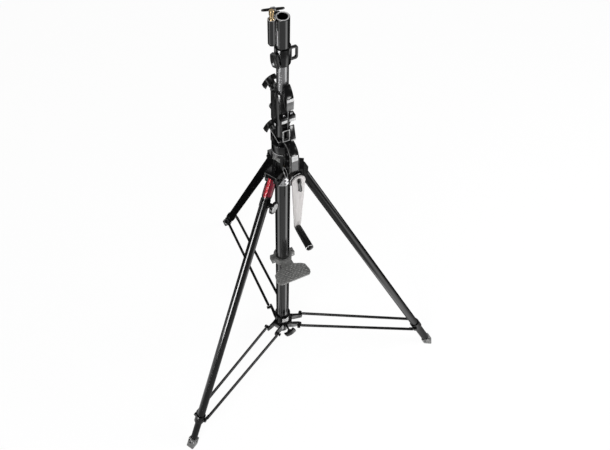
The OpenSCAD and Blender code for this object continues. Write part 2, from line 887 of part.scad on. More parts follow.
// lower collar of the head with the safety cable's eye
module head_collar() {
    color(black)
        difference() {
            union() {
                translate([0, 0, collar_2_z0]) cylinder(d1 = 41, d2 = 45.5, h = 4);
                tube(45.5, riser_2_d, collar_2_z0 + 4, collar_2_z1);
                safety_eye();
                rotate([0, 0, head_knob_az]) rod_x(16, 18, 25, 0, head_knob_z);
            }
            translate([0, 0, collar_2_z0 - 1]) cylinder(d = riser_2_d, h = 80);
            rotate([0, 0, head_knob_az]) rod_x(8.1, 0, 60, 0, head_knob_z);
        }
}

module safety_eye() {
    translate([0, 3.25, 0])
        rotate([90, 0, 0])
            linear_extrude(6.5)
                difference() {
                    polygon([[18, 1514], [39, 1514], [43, 1517], [44.5, 1521], [44.5, 1553], [43, 1557],
                             [39, 1560], [18, 1560]]);
                    polygon([[26, 1520], [35.5, 1520], [38.5, 1524], [38.5, 1550], [35.5, 1554],
                             [26, 1554]]);
                }
}

// the socket's barrel with the spare spigot's sleeve welded beside it
module socket_barrel() {
    color(black)
        difference() {
            union() {
                tube(barrel_d, socket_bore, collar_2_z1, stand_h - 1);
                tube(barrel_d - 2, socket_bore, stand_h - 1, stand_h);
                tube(riser_2_bore, socket_bore, collar_2_z1 - 40, collar_2_z1);
                box(-24, -16, -4, 4, 1600, 1660);
                rod_y(20, 14, 34, 0, t_handle_z);
                translate([-spigot_x, 0, sleeve_z0]) cylinder(d1 = 16, d2 = 21.6, h = 5);
                translate([-spigot_x, 0, sleeve_z0 + 5]) cylinder(d = 21.6, h = stand_h + 2 - sleeve_z0 - 5);
            }
            translate([0, 0, collar_2_z1 - 60]) cylinder(d = socket_bore, h = 200);
            translate([-spigot_x, 0, sleeve_z0 + 10]) cylinder(d = spigot_d + 2 * slide_gap, h = 120);
            rod_y(8.1, 0, 60, 0, t_handle_z);
        }
}

// stud turned from bar, with the groove that a clamp's screw seats in
module spigot() {
    color("goldenrod")
        translate([-spigot_x, 0, sleeve_z0 + 10])
            rotate_extrude()
                polygon([[0, 0], [7, 0], [8, 1], [8, 72], [7, 74.5], [5.6, 76], [5.6, 86], [7, 88],
                         [7, 99], [5.5, 101.5], [0, 101.5]]);
}

module t_handle() {
    color(steel)
        translate([0, 14.4, t_handle_z]) rotate([-90, 0, 0]) cylinder(d = 8, h = 34);
    color(black)
        translate([-2, 54.5, t_handle_z])
            rotate([0, 0, -15.7]) rotate([0, 90, 0])
                rotate_extrude()
                    polygon([[0, -31], [2.6, -30], [3.6, -25], [4, -8], [6.5, -5], [6.5, 5], [4, 8],
                             [3.6, 25], [2.6, 30], [0, 31]]);
}

module head_knob() {
    color(black)
        rotate([0, 0, head_knob_az])
            translate([17.6, 0, head_knob_z])
                rotate([0, 90, 0]) rotate([0, 0, 12]) wing_knob(8, 9, 16, 7, 42, 21, 10, 4);
}

base_tube();
base_plug();
crown_casting();
crown_bush();
crown_ring();
gear_case();
gear_cover();
front_guards();
crank_bushes();
leg_pins();
base_screws();
step_plate();
step_clamp();
lower_knob();
worm_shaft();
crank_arm();
crank_fittings();
crank_grip();
pinion_gear();
worm_wheel();
spider_hub();
spider_pins();
spider_knob();
leg_left_tube();
leg_left_head();
leg_left_sleeve();
leg_left_bracket();
level_bush();
level_tube();
level_foot();
level_knob();
leg_right_tube();
leg_right_head();
leg_right_bracket();
leg_right_foot();
leg_rear_tube();
leg_rear_head();
leg_rear_bracket();
leg_rear_foot();
braces_left();
braces_right();
braces_rear();
riser_1_tube();
riser_1_rack();
riser_1_foot();
riser_1_collar();
riser_1_bush();
pulley_hood();
pulley();
collar_bolts();
upper_knob();
cable_outer();
cable_inner();
riser_2_tube();
riser_2_foot();
head_collar();
socket_barrel();
spigot();
t_handle();
head_knob();
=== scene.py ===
import bpy
import bmesh
import json
import math
from mathutils import Matrix, Vector

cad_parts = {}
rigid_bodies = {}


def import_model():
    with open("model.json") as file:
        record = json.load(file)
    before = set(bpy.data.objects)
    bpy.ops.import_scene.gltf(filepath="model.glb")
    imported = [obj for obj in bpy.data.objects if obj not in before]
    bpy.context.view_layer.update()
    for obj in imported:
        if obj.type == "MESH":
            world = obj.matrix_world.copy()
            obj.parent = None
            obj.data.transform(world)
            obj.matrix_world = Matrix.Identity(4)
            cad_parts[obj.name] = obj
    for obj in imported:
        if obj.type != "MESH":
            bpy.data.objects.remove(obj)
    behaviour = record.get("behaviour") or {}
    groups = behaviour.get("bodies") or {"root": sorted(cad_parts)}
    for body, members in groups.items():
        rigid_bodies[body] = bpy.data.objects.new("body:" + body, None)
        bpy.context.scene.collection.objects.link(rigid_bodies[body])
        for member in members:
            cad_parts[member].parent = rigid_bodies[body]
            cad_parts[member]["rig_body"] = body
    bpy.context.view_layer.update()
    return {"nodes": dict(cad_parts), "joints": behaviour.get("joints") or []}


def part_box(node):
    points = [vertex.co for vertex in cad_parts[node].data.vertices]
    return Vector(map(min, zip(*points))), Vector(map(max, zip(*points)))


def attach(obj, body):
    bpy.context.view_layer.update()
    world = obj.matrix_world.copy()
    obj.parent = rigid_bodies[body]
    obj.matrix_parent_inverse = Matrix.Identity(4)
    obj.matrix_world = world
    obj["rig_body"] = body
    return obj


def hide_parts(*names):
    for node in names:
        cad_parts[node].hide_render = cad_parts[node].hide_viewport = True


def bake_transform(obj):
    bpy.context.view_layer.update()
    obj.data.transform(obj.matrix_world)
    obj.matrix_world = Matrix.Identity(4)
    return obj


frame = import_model()
nodes = frame["nodes"]
joints = {j["name"]: j for j in frame["joints"]}

# Positions are metres in the stand's frame: seen from the front X is to the right, Y to the back.
MM = 0.001


# ---- materials ----

COAT_ROUGHNESS = 0.06
BUMP_HEIGHT = 0.0004


def add_node(tree, kind, values=None, links=None, **settings):
    """A shader node with its settings, the values of its inputs and what is linked into them."""
    node = tree.nodes.new("ShaderNode" + kind)
    for key, value in settings.items():
        setattr(node, key, value)
    for key, value in (values or {}).items():
        node.inputs[key].default_value = value
    for key, output in (links or {}).items():
        tree.links.new(output, node.inputs[key])
    return node


def new_material(name):
    m = bpy.data.materials.new(name)
    m.use_nodes = True
    m.node_tree.nodes.clear()
    return m, m.node_tree


def surface(name, dark, light, rough, metal=0.0, spec=0.5, coat=0.0, grain=60.0,
            stretch=(1, 1, 1), bump=0.0, bump_grain=400.0, rough_spread=0.08):
    """A finish whose colour and roughness wander over the object, with an optional fine bump."""
    m, tree = new_material(name)
    coord = add_node(tree, "TexCoord")
    mapping = add_node(tree, "Mapping", {"Scale": stretch}, {"Vector": coord.outputs["Object"]})
    place = mapping.outputs["Vector"]
    noise = add_node(tree, "TexNoise", {"Scale": grain, "Detail": 4.0}, {"Vector": place})
    ramp = add_node(tree, "ValToRGB", links={"Fac": noise.outputs["Fac"]})
    for stop, position, colour in zip(ramp.color_ramp.elements, (0.3, 0.7), (dark, light)):
        stop.position = position
        stop.color = (*colour, 1)
    spread = add_node(tree, "MapRange", {"To Min": max(0.02, rough - rough_spread),
                                         "To Max": rough + rough_spread},
                      {"Value": noise.outputs["Fac"]})
    bsdf = add_node(tree, "BsdfPrincipled",
                    {"Metallic": metal, "Specular IOR Level": spec, "Coat Weight": coat,
                     "Coat Roughness": COAT_ROUGHNESS},
                    {"Base Color": ramp.outputs["Color"], "Roughness": spread.outputs["Result"]})
    if bump:
        fine = add_node(tree, "TexNoise", {"Scale": bump_grain, "Detail": 6.0}, {"Vector": place})
        relief = add_node(tree, "Bump", {"Strength": bump, "Distance": BUMP_HEIGHT},
                          {"Height": fine.outputs["Fac"]})
        tree.links.new(relief.outputs["Normal"], bsdf.inputs["Normal"])
    add_node(tree, "OutputMaterial", links={"Surface": bsdf.outputs["BSDF"]})
    return m


MAT = {
    "tube": surface("tube_black", (0.0030, 0.0030, 0.0034), (0.0060, 0.0060, 0.0064), 0.10,
                    spec=1.0, grain=30, rough_spread=0.03),
    "leg": surface("leg_black", (0.0020, 0.0020, 0.0022), (0.0045, 0.0045, 0.0047), 0.14,
                   spec=0.5, grain=30, rough_spread=0.03),
    "riser": surface("riser_grey", (0.30, 0.30, 0.305), (0.42, 0.42, 0.425), 0.22,
                     metal=0.9, grain=30, rough_spread=0.04),
    "cast": surface("cast_black", (0.0025, 0.0025, 0.0028), (0.0060, 0.0060, 0.0063), 0.18,
                    spec=0.6, bump=0.25, bump_grain=350),
    "pin": surface("pin_dark", (0.010, 0.010, 0.011), (0.022, 0.022, 0.023), 0.28, metal=0.4),
    "worn": surface("worn_edge", (0.010, 0.010, 0.010), (0.42, 0.42, 0.41), 0.55,
                    spec=0.4, grain=420, bump=0.4, bump_grain=700),
    "scuffed": surface("scuffed_black", (0.010, 0.010, 0.010), (0.45, 0.45, 0.44), 0.50,
                       spec=0.4, grain=260, bump=0.3, bump_grain=600),
    "brace": surface("brace_black", (0.003, 0.003, 0.003), (0.007, 0.007, 0.007), 0.20, spec=0.6),
    "plastic": surface("plastic_black", (0.004, 0.004, 0.004), (0.008, 0.008, 0.008), 0.30,
                       spec=0.6),
    "rubber": surface("grip_black", (0.004, 0.004, 0.004), (0.008, 0.008, 0.008), 0.42,
                      spec=0.4, bump=0.15, bump_grain=900),
    "chrome": surface("chrome", (0.60, 0.60, 0.61), (0.85, 0.85, 0.87), 0.12,
                      metal=1.0, rough_spread=0.04),
    "steel": surface("steel", (0.42, 0.42, 0.43), (0.60, 0.60, 0.61), 0.30, metal=1.0),
    # bright finish: painted highlights on the castings' edges and faces, and the bright rims,
    # knob face and grip rim elsewhere
    "bright": surface("bright_edge", (0.62, 0.62, 0.62), (0.90, 0.90, 0.90), 0.35,
                      metal=0.3, spec=0.6, grain=120),
    "alu_cast": surface("alu_cast", (0.22, 0.22, 0.215), (0.40, 0.40, 0.39), 0.48,
                        metal=0.45, grain=220, bump=0.5, bump_grain=500),
    "alu_arm": surface("alu_arm", (0.76, 0.73, 0.72), (0.86, 0.83, 0.82), 0.40,
                       metal=0.10, spec=0.4, grain=25, stretch=(1, 1, 0.2)),
    "shoe": surface("alu_shoe", (0.34, 0.34, 0.34), (0.56, 0.56, 0.55), 0.36,
                    metal=0.8, grain=150, bump=0.3, bump_grain=500),
    "brass": surface("brass", (0.45, 0.30, 0.14), (0.75, 0.58, 0.34), 0.20, metal=1.0),
    "nylon": surface("nylon", (0.45, 0.45, 0.44), (0.60, 0.60, 0.58), 0.45),
    # one red for the levelling leg's sleeve: red is its lit side, a painted highlight, and
    # red_dark its painted shade
    "red": surface("red_bright", (0.72, 0.035, 0.06), (0.90, 0.07, 0.09), 0.20,
                   spec=0.6, coat=0.5, grain=20, rough_spread=0.04),
    "red_dark": surface("red_deep", (0.17, 0.006, 0.022), (0.30, 0.010, 0.035), 0.25,
                        spec=0.5, coat=0.3, grain=60, rough_spread=0.04),
    "label": surface("label_white", (0.80, 0.80, 0.79), (0.90, 0.90, 0.89), 0.35,
                     rough_spread=0.05),
    # painted reflection: the grey that the flat fronts of the gear case and the hood mirror
    "pale": surface("pale_sheen", (0.11, 0.11, 0.111), (0.22, 0.22, 0.221), 0.35,
                    spec=0.5, grain=60),
    "dash": surface("tread_raised", (0.42, 0.42, 0.41), (0.62, 0.62, 0.61), 0.40,
                    metal=0.3, grain=150),
    # painted shade for the insides of the shoes' holes
    "hole": surface("hole_painted_shade", (0.004, 0.004, 0.004), (0.007, 0.007, 0.007), 0.7, spec=0.2),
}

FINISH = {
    "tube": ["base_tube", "riser_1_tube", "socket_barrel", "head_collar"],
    "leg": ["level_tube", "leg_left_tube", "leg_right_tube", "leg_rear_tube"],
    "riser": ["riser_2_tube"],
    "pin": ["spider_pins", "leg_pins"],
    "cast": ["crown_casting", "gear_case", "gear_cover", "front_guards", "spider_hub",
             "leg_left_head", "leg_right_head", "leg_rear_head", "leg_left_bracket",
             "leg_right_bracket", "leg_rear_bracket", "level_bush", "riser_1_collar",
             "pulley_hood", "crank_fittings", "riser_1_bush", "crown_bush"],
    "brace": ["braces_left", "braces_right", "braces_rear"],
    "plastic": ["base_plug", "lower_knob", "upper_knob", "head_knob", "spider_knob",
                "level_knob", "t_handle"],
    "rubber": ["crank_grip"],
    "chrome": ["crown_ring", "collar_bolts"],
    "steel": ["base_screws", "worm_shaft", "pinion_gear", "riser_1_rack", "cable_outer",
              "cable_inner"],
    "alu_cast": ["step_plate", "step_clamp"],
    "shoe": ["level_foot", "leg_right_foot", "leg_rear_foot"],
    "alu_arm": ["crank_arm"],
    "brass": ["crank_bushes", "worm_wheel", "spigot", "pulley"],
    "nylon": ["riser_1_foot", "riser_2_foot"],
    "red": ["leg_left_sleeve"],
}
for finish, names in FINISH.items():
    for n in names:
        nodes[n].data.materials.clear()
        nodes[n].data.materials.append(MAT[finish])


# ---- mesh helpers ----

def finish_mesh(name, bm, mat, body, angle=32.0):
    """Turns a bmesh into a piece that rides on a body: smooth, with hard edges past the angle."""
    bmesh.ops.recalc_face_normals(bm, faces=bm.faces)
    limit = math.radians(angle)
    for f in bm.faces:
        f.smooth = True
    for e in bm.edges:
        e.smooth = len(e.link_faces) == 2 and e.calc_face_angle(0) <= limit
    mesh = bpy.data.meshes.new(name)
    bm.to_mesh(mesh)
    bm.free()
    mesh.materials.append(MAT[mat])
    o = bpy.data.objects.new(name, mesh)
    bpy.context.scene.collection.objects.link(o)
    if body:
        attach(o, body)
    return o


def piece(name, mat, body, build):
    """A piece whose mesh is filled in by a function."""
    bm = bmesh.new()
    build(bm)
    return finish_mesh(name, bm, mat, body)


def turned(name, mat, body, profile, matrix, seg=48):
    """A piece that is one turned profile."""
    return piece(name, mat, body, lambda bm: add_lathe(bm, profile, matrix, seg))


def along(origin, direction, side=None):
    """Matrix whose +Z runs along direction from origin, with +X as near to side as it can be."""
    z = Vector(direction).normalized()
    if side is None:
        side = (0, 0, 1) if abs(z.z) < 0.9 else (1, 0, 0)
    x = Vector(side)
    x = (x - z * x.dot(z)).normalized()
    m = Matrix((x, z.cross(x), z)).transposed().to_4x4()
    m.translation = Vector(origin)
    return m


def skin(bm, loops):
    """Joins a row of equal vertex loops into a tube with closed ends."""
    count = len(loops[0])
    for a, b in zip(loops, loops[1:]):
        for k in range(count):
            j = (k + 1) % count
            bm.faces.new([a[k], a[j], b[j], b[k]])
    bm.faces.new(list(reversed(loops[0])))
    bm.faces.new(loops[-1])


def add_lathe(bm, profile, matrix=Matrix.Identity(4), seg=48):
    """Turns a closed or axis-to-axis (radius, height) profile round +Z."""
    turns = [2 * math.pi * i / seg for i in range(seg)]
    rings = []
    for r, z in profile:
        points = [(r * math.cos(t), r * math.sin(t), z) for t in turns] if r else [(0, 0, z)]
        rings.append([bm.verts.new(matrix @ Vector(p)) for p in points])
    for a, b in zip(rings, rings[1:]):
        for i in range(seg):
            j = (i + 1) % seg
            quad = [a[i % len(a)], a[j % len(a)], b[j % len(b)], b[i % len(b)]]
            unique = list(dict.fromkeys(quad))
            if len(unique) > 2:
                bm.faces.new(unique)


def add_prism(bm, outline, z0, z1, matrix=Matrix.Identity(4), bevel=0.0, seg=2):
    """Extrudes an outline between two heights and rounds its edges."""
    part = bmesh.new()
    skin(part, [[part.verts.new((x, y, z)) for x, y in outline] for z in (z0, z1)])
    bmesh.ops.recalc_face_normals(part, faces=part.faces)
    if bevel:
        sharp = [e for e in part.edges if e.calc_face_angle(0) > math.radians(25)]
        bmesh.ops.bevel(part, geom=sharp, offset=bevel, segments=seg, profile=0.6,
                        affect="EDGES", clamp_overlap=True)
    part.transform(matrix)
    moved = {v: bm.verts.new(v.co) for v in part.verts}
    for f in part.faces:
        bm.faces.new([moved[v] for v in f.verts])
    part.free()


def add_bar(bm, x0, x1, y0, y1, z0, z1):
    """A small upright block with rounded edges."""
    add_prism(bm, [(x0, y0), (x1, y0), (x1, y1), (x0, y1)], z0, z1, bevel=0.0004)


def add_pipe(bm, points, radius, seg=8):
    """A round rod that follows a line of points."""
    pts = [Vector(p) for p in points]
    turns = [2 * math.pi * k / seg for k in range(seg)]
    rings = []
    side = None
    for i, p in enumerate(pts):
        d = (pts[min(i + 1, len(pts) - 1)] - pts[max(i - 1, 0)]).normalized()
        if side is None:
            side = d.orthogonal().normalized()
        side = (side - d * side.dot(d)).normalized()
        up = d.cross(side)
        rings.append([bm.verts.new(p + radius * (math.cos(t) * side + math.sin(t) * up))
                      for t in turns])
    skin(bm, rings)


def add_patch(bm, a0, a1, corners, matrix=Matrix.Identity(4), steps=14):
    """A thin curved patch: four (radius, height) corners swept between two angles in degrees."""
    loops = []
    for i in range(steps + 1):
        a = math.radians(a0 + (a1 - a0) * i / steps)
        loops.append([bm.verts.new(matrix @ Vector((r * math.cos(a), r * math.sin(a), z)))
                      for r, z in corners])
    skin(bm, loops)


def ring_patch(bm, radius, a0, a1, z0, z1, thick, matrix=Matrix.Identity(4), steps=14):
    """A patch on a cylinder."""
    outer = radius + thick
    add_patch(bm, a0, a1, [(radius, z0), (outer, z0), (outer, z1), (radius, z1)], matrix, steps)


def cone_patch(bm, a0, a1, z0, z1, r0, r1, thick):
    """A patch on a cone whose radius goes from r0 to r1, let into it by a sink."""
    sink = 0.0003
    add_patch(bm, a0, a1, [(r0 - sink, z0), (r0 + thick, z0), (r1 + thick, z1), (r1 - sink, z1)])


# ---- rounded copies of the castings and mouldings ----

def rounded(node, mat, width, angle=28.0, seg=2):
    """A copy of a CAD node with its sharp edges rounded by a width in mm, shown in its place."""
    bm = bmesh.new()
    bm.from_mesh(nodes[node].data)
    bmesh.ops.remove_doubles(bm, verts=bm.verts, dist=2e-6)
    bmesh.ops.dissolve_limit(bm, angle_limit=math.radians(1.0), verts=bm.verts, edges=bm.edges,
                             delimit={"NORMAL"})
    sharp = [e for e in bm.edges if len(e.link_faces) == 2
             and e.calc_face_angle(0) > math.radians(angle) and e.calc_length() > 0.3 * MM]
    bmesh.ops.bevel(bm, geom=sharp, offset=width * MM, segments=seg, profile=0.5,
                    affect="EDGES", clamp_overlap=True, loop_slide=True)
    o = finish_mesh(node + "_rounded", bm, mat, nodes[node]["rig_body"], 40.0)
    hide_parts(node)


for n in ("crown_casting", "gear_case", "gear_cover", "front_guards", "riser_1_collar",
          "head_collar", "leg_left_bracket", "leg_right_bracket", "leg_rear_bracket",
          "spider_hub"):
    rounded(n, "cast", 1.0)
rounded("pulley_hood", "cast", 0.8)
for n in ("lower_knob", "upper_knob", "head_knob", "spider_knob"):
    rounded(n, "plastic", 2.4, 35, 3)
rounded("level_knob", "plastic", 0.8)
rounded("crank_arm", "alu_arm", 0.7)
rounded("step_plate", "alu_cast", 0.9)
rounded("step_clamp", "alu_cast", 1.2)
for n in ("level_foot", "leg_right_foot", "leg_rear_foot"):
    rounded(n, "shoe", 1.2)
rounded("crank_fittings", "cast", 0.5)


# ---- sliding hub, legs and crown ----

LEG_AZIMUTH = {"leg_left": -150, "leg_right": -30, "leg_rear": 90}
LEG_OUT, LEG_DROP = 0.554, 1.075    # from a leg's pivot to its foot
LEG_RUN = math.hypot(LEG_DROP, LEG_OUT)


def leg_matrix(leg):
    """The leg's own frame: origin on its pivot, Z down the tube, X towards the column."""
    return (Matrix.Translation(Vector(joints[leg + "_fold"]["pos_m"]))
            @ Matrix.Rotation(math.radians(LEG_AZIMUTH[leg]), 4, "Z")
            @ Matrix.Rotation(math.pi - math.atan2(LEG_OUT, LEG_DROP), 4, "Y"))


# label on the sliding hub, without any marks
piece("hub_label", "label", "spider",
      lambda bm: ring_patch(bm, 0.0309, -116, -64, 0.114, 0.142, 0.0005))

# head and sleeve of the levelling leg; the red is drawn in two tones with a dark line between
# them: the bright band is a painted highlight, the deep red bands and the black line are painted
# shade on one red sleeve
leg_l = leg_matrix("leg_left")
SLEEVE_R = 0.0162


def leg_head(bm):
    add_lathe(bm, [(0, -0.004), (0.0135, -0.004), (0.0150, -0.002), (0.0150, 0.030),
                   (0.0148, 0.0305), (0, 0.0305)], leg_l)
    add_lathe(bm, [(0, -0.0178), (0.0118, -0.0178), (0.0130, -0.0166), (0.0130, 0.0166),
                   (0.0118, 0.0178), (0, 0.0178)], leg_l @ along((0, 0, 0), (0, 1, 0)))


def red_band(name, mat, a0, a1, thick, s0, s1):
    """A band on the sleeve; its angles run from the leg's outer side towards its +Y side."""
    piece(name, mat, "leg_left",
          lambda bm: ring_patch(bm, SLEEVE_R, 180 - a0, 180 - a1, s0, s1, thick, leg_l, 20))


head = piece("leg_left_head_slim", "cast", "leg_left", leg_head)
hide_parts("leg_left_head")
shell = turned("leg_left_sleeve_shell", "plastic", "leg_left",
               [(0.0151, 0.024), (0.0161, 0.024), (0.0163, 0.026), (0.0163, 0.066),
                (0.0161, 0.068), (0.0151, 0.068), (0.0151, 0.024)], leg_l)
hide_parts("leg_left_sleeve")
# painted highlight on the sleeve's lit side, then painted shade on its shaded side and its back
red_band("sleeve_red_highlight", "red", -14, 20, 0.0006, -0.004, 0.064)
red_band("sleeve_red_shade", "red_dark", 29, 84, 0.0006, -0.002, 0.060)
red_band("sleeve_red_back_shade", "red_dark", 96, 336, 0.0004, 0.026, 0.060)


# ribbed ring under the crown, with its screw
def crown_ring(bm):
    add_lathe(bm, [(0.0251, 1.010), (0.0266, 1.010), (0.0272, 1.012), (0.0272, 1.017),
                   (0.0260, 1.020), (0.0258, 1.024), (0.0270, 1.027), (0.0272, 1.031),
                   (0.0268, 1.034), (0.0258, 1.037), (0.0260, 1.041), (0.0272, 1.044),
                   (0.0272, 1.050), (0.0266, 1.052), (0.0251, 1.052), (0.0251, 1.010)])
    add_lathe(bm, [(0, 0), (0.0065, 0), (0.0065, 0.0105), (0.0058, 0.0112), (0, 0.0112)],
              along((0.0255, 0, 1.031), (1, 0, 0)), 28)


ring = piece("crown_ring_ribbed", "chrome", "base", crown_ring)
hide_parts("crown_ring")


# ---- foot step ----

STEP_TOP = 0.565
DASH_LONG, DASH_WIDE = 0.0056, 0.0010    # half length and half width of a raised dash
ROW_PITCH, DASH_PITCH = 0.0077, 0.017


def tread(bm):
    """Rows of raised dashes, every second row shifted by half a pitch."""
    turns = [i * math.pi / 6 for i in range(12)]
    for row in range(8):
        y = -0.051 - row * ROW_PITCH
        half = 0.040 if row == 0 else (0.052 if row < 3 else 0.057)
        x = -half + (DASH_PITCH / 2 if row % 2 else 0.0)
        while x <= half:
            outline = [(DASH_LONG * math.cos(t) + x, DASH_WIDE * math.sin(t) + y) for t in turns]
            add_prism(bm, outline, STEP_TOP - 0.0002, STEP_TOP + 0.0008, bevel=0.0003, seg=1)
            x += DASH_PITCH


def tread_rim(bm):
    """Bright rods along the plate's worn edge: the front, then the left and the right side."""
    z = STEP_TOP - 0.0005
    add_pipe(bm, [(-0.0545, -0.1103, z), (0.0545, -0.1103, z)], 0.0007)
    side = [(0.048, -0.0556), (0.0597, -0.0645), (0.0655, -0.092), (0.0625, -0.1035),
            (0.0545, -0.1103)]
    for sign in (-1, 1):
        for (xa, ya), (xb, yb) in zip(side, side[1:]):
            add_pipe(bm, [(sign * xa, ya, z), (sign * xb, yb, z)], 0.0007)


piece("tread_dashes", "dash", "base", tread)
piece("tread_rim", "bright", "base", tread_rim)


# ---- painted highlights on the castings' edges and faces, and their worn paint ----

EAR_Z = (1.3145, 1.3250)
FRAME_X, FRAME_Y, FRAME_Z = (-0.0190, 0.0040), (-0.0425, -0.0419), (1.2420, 1.2890)
FRAME_BAR = 0.0018


def ear_highlights(bm):
    """Painted highlights on the fronts of the two ears of the split clamp on riser 1."""
    add_bar(bm, -0.0198, -0.0025, -0.0374, -0.0368, *EAR_Z)
    add_bar(bm, 0.0048, 0.0238, -0.0374, -0.0368, *EAR_Z)


def guard_highlights(bm):
    """Painted highlights on the wedge, the four sides of the window frame and the four small
    fillets in its corners.
    """
    add_bar(bm, 0.0075, 0.0228, -0.0445, -0.0439, 1.2372, 1.2430)
    add_bar(bm, FRAME_X[0], FRAME_X[0] + FRAME_BAR, *FRAME_Y, *FRAME_Z)
    add_bar(bm, FRAME_X[1] - FRAME_BAR, FRAME_X[1], *FRAME_Y, *FRAME_Z)
    add_bar(bm, *FRAME_X, *FRAME_Y, FRAME_Z[0], FRAME_Z[0] + 0.0022)
    add_bar(bm, *FRAME_X, *FRAME_Y, FRAME_Z[1] - FRAME_BAR, FRAME_Z[1])
    for x in (-0.0176, -0.0006):
        for z in (1.2438, 1.2846):
            add_bar(bm, x, x + 0.0030, -0.0424, -0.0420, z, z + 0.0030)


piece("ear_highlights", "bright", "riser_1", ear_highlights)
piece("guard_highlights", "bright", "base", guard_highlights)

# the gear case's front is flat up to the axis of its rounded top; a bright strip paints the
# highlight where the top rounds over and a pale strip paints the reflection on the flat front,
# and the hood on riser 1 gets the same two painted strips
CASE_Y, CASE_Z, CASE_R = -0.044, 1.197, 0.040
BAND_X = (-0.0085, 0.0119)


def case_front(bm, z0, z1, out=0.0005, steps=10):
    """A thin strip that follows the case's front between two heights."""
    loops = []
    for i in range(steps + 1):
        z = z0 + (z1 - z0) * i / steps
        rise = max(0.0, z - CASE_Z)
        depth = math.sqrt(CASE_R ** 2 - rise ** 2)
        y = CASE_Y - depth
        outer = (y - out * depth / CASE_R, z + out * rise / CASE_R)
        loops.append([bm.verts.new(v) for v in (
            (BAND_X[0], y + 0.0003, z), (BAND_X[0], *outer),
            (BAND_X[1], *outer), (BAND_X[1], y + 0.0003, z))])
    skin(bm, loops)


piece("case_highlight", "bright", "base", lambda bm: case_front(bm, 1.192, 1.212))
piece("case_reflection", "pale", "base", lambda bm: case_front(bm, 1.147, 1.1915))
piece("hood_highlight", "bright", "riser_1",
      lambda bm: add_bar(bm, -0.0092, 0.0120, -0.0486, -0.0478, 1.4060, 1.4180))
piece("hood_reflection", "pale", "riser_1",
      lambda bm: add_bar(bm, -0.0092, 0.0120, -0.0480, -0.0474, 1.3740, 1.4055))

# flange standing off the case behind the crank arm's head; a bright rod along its edge is a
# painted highlight
FLANGE = [(-0.0149, 1.0875), (-0.0145, 1.1118), (-0.0079, 1.1252), (0.0037, 1.1297),
          (0.0171, 1.1323)]
FLANGE_IN = [(0.0171, 1.1262), (0.0050, 1.1240), (-0.0035, 1.1206), (-0.0088, 1.1100),
             (-0.0092, 1.0875)]
piece("case_flange", "cast", "base",
      lambda bm: add_prism(bm, FLANGE + FLANGE_IN, 0.0839, 0.0882,
                           along((0, 0, 0), (0, -1, 0), (1, 0, 0))))
piece("case_flange_highlight", "bright", "base",
      lambda bm: add_pipe(bm, [(x, -0.0878, z) for x, z in FLANGE], 0.0012, 10))

# the case's left side: a painted highlight on the rim of its disc, and the worn border of its
# cheek
turned("case_disc_highlight", "bright", "base",
       [(0.0158, 0), (0.0178, 0), (0.0176, 0.0006), (0.0160, 0.0006), (0.0158, 0)],
       along((-0.0169, -0.056, 1.118), (-1, 0, 0)))


def cheek_arc(radius, degrees):
    return [(CASE_Y - radius * math.cos(math.radians(a)),
             CASE_Z + radius * math.sin(math.radians(a))) for a in degrees]


CHEEK = ([(-0.0832, 1.142), (-0.0832, CASE_Z)] + cheek_arc(0.0392, range(10, 101, 10))
         + cheek_arc(0.0320, range(100, 0, -10)) + [(-0.0765, CASE_Z), (-0.0765, 1.142)])
piece("cheek_worn", "scuffed", "base",
      lambda bm: add_prism(bm, CHEEK, -0.0123, -0.0119, along((0, 0, 0), (1, 0, 0), (0, 1, 0))))


# the crown: worn paint on its cone, and painted highlights on its clamp's upper edge and the rim
# of its drum
def crown_worn(bm):
    cone_patch(bm, -176, -128, 1.137, 1.152, 0.0349, 0.0330, 0.0004)
    cone_patch(bm, -184, -146, 1.152, 1.1665, 0.0330, 0.0312, 0.0004)


def clamp_highlight(bm):
    corner = (-0.0243, -0.0238, 1.2248)
    add_pipe(bm, [(-0.0243, 0.0325, 1.2248), corner], 0.0009)
    add_pipe(bm, [corner, (-0.0160, -0.0238, 1.2248)], 0.0007)


piece("crown_worn", "worn", "base", crown_worn)
piece("clamp_highlight", "bright", "base", clamp_highlight)
piece("drum_highlight", "bright", "base",
      lambda bm: ring_patch(bm, 0.0340, -200, -112, 1.1672, 1.1692, 0.0006))

# bright rims on the socket and on the spigot's sleeve beside it
SLEEVE_X = -0.0304


def socket_rim(bm):
    add_lathe(bm, [(0.01435, 1.6690), (0.0181, 1.6690), (0.0184, 1.6697), (0.0180, 1.6703),
                   (0.0147, 1.6703), (0.01435, 1.6699), (0.01435, 1.6690)])
    add_lathe(bm, [(0.0082, 1.6712), (0.0105, 1.6712), (0.0106, 1.6718), (0.0102, 1.67245),
                   (0.0086, 1.67245), (0.0082, 1.6720), (0.0082, 1.6712)],
              Matrix.Translation(Vector((SLEEVE_X, 0, 0))))


piece("socket_rim", "bright", "riser_2", socket_rim)


# ---- bolts, holes and knobs ----

def hood_bolts(bm):
    for x in (-0.009, 0.014):
        add_lathe(bm, [(0, 0), (0.0045, 0), (0.0045, 0.0012), (0.0033, 0.0016),
                       (0.0033, 0.0042), (0.0027, 0.0048), (0, 0.0048)],
                  Matrix.Translation(Vector((x, -0.028, 1.3362))), 24)


piece("hood_bolts", "chrome", "riser_1", hood_bolts)


